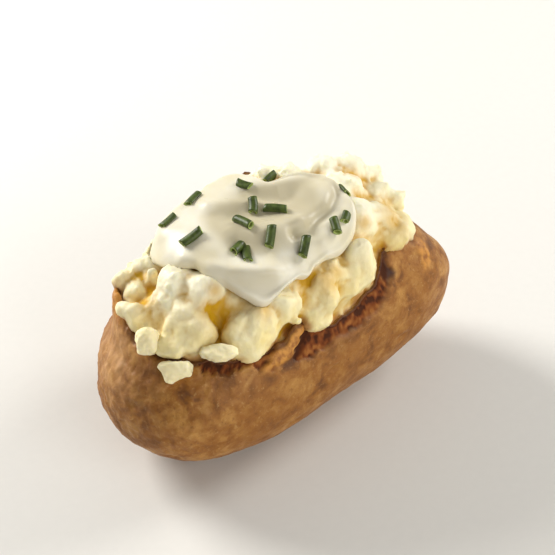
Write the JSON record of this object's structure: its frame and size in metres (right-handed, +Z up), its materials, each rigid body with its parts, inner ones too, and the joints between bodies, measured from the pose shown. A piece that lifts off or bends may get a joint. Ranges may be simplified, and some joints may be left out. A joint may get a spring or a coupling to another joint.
{
  "type": "baked potato",
  "caption": "Baked potato cut open along its length, the fluffed flesh heaped over its browned jacket and topped with a spoon of sour cream and snipped chives.",
  "frame": {"origin": "middle of the underside of the object's box, on the surface it rests on", "axes": "+X along the potato's length towards its slimmer end, -Y towards the near side where the jacket is torn, +Z up"},
  "size_m": [0.1234, 0.0666, 0.076],
  "materials": {
    "browned_skin": "dry baked potato skin, tan to red-brown, finely wrinkled",
    "potato_flesh": "moist crumbly baked potato, cream to butter yellow",
    "sour_cream": "smooth wet sour cream, off-white",
    "chives": "snipped fresh chives, mid green"
  },
  "bodies": {
    "root": {"potato_jacket": "browned_skin", "fluffed_flesh": "potato_flesh", "hanging_chunk": "potato_flesh", "left_chunk": "potato_flesh", "near_chunk": "potato_flesh", "sour_cream": "sour_cream"}
  },
  "joints": []
}
